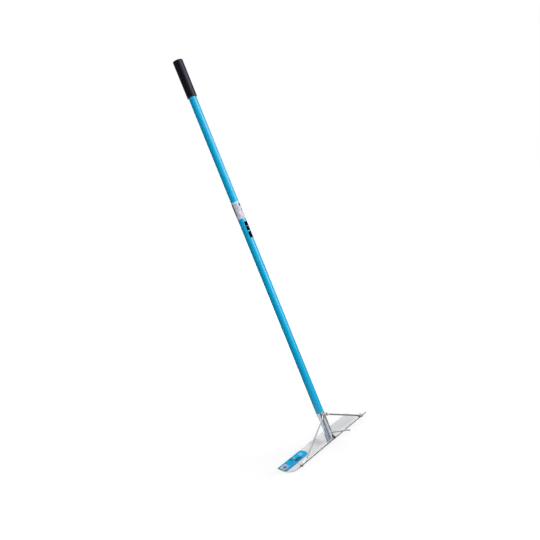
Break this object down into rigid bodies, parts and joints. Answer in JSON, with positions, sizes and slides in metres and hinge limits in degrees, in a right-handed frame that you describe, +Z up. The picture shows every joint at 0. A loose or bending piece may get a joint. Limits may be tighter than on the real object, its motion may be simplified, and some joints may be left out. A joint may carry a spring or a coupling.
{
  "type": "concrete rake",
  "caption": "Concrete placing rake: a curved sheet blade on a long tube handle with a rubber grip, braces from socket to blade and a hook for lifting steel mesh.",
  "frame": {"origin": "on the handle's axis, in the middle of the rubber grip's length", "axes": "+Z up the handle from blade to grip, +X along the blade, +Y from the handle towards the blade's working edge; the hook points to -Y"},
  "size_m": [0.495, 0.1859, 1.5758],
  "materials": {
    "blue_paint": "smooth powder coat, half gloss",
    "black_rubber": "moulded, matt",
    "zinc_steel": "zinc plated, half gloss",
    "aluminium_sheet": "mill finish sheet, satin",
    "black_steel": "black, satin"
  },
  "bodies": {
    "root": {"rubber_grip": "black_rubber", "handle_tube": "blue_paint", "handle_rivet_lower": "zinc_steel", "handle_rivet_upper": "zinc_steel", "spigot_tube": "zinc_steel", "socket_tube": "zinc_steel", "foot_weld": "zinc_steel", "front_lug": "black_steel", "mesh_hook": "zinc_steel", "hook_weld": "zinc_steel", "blade": "aluminium_sheet", "brace_left": "zinc_steel", "brace_right": "zinc_steel", "brace_top_bolt": "zinc_steel", "brace_top_washer": "zinc_steel", "brace_top_nut": "zinc_steel", "brace_bolt_left": "zinc_steel", "brace_washer_left": "zinc_steel", "brace_nut_left": "zinc_steel", "brace_bolt_right": "zinc_steel", "brace_washer_right": "zinc_steel", "brace_nut_right": "zinc_steel"}
  },
  "joints": []
}
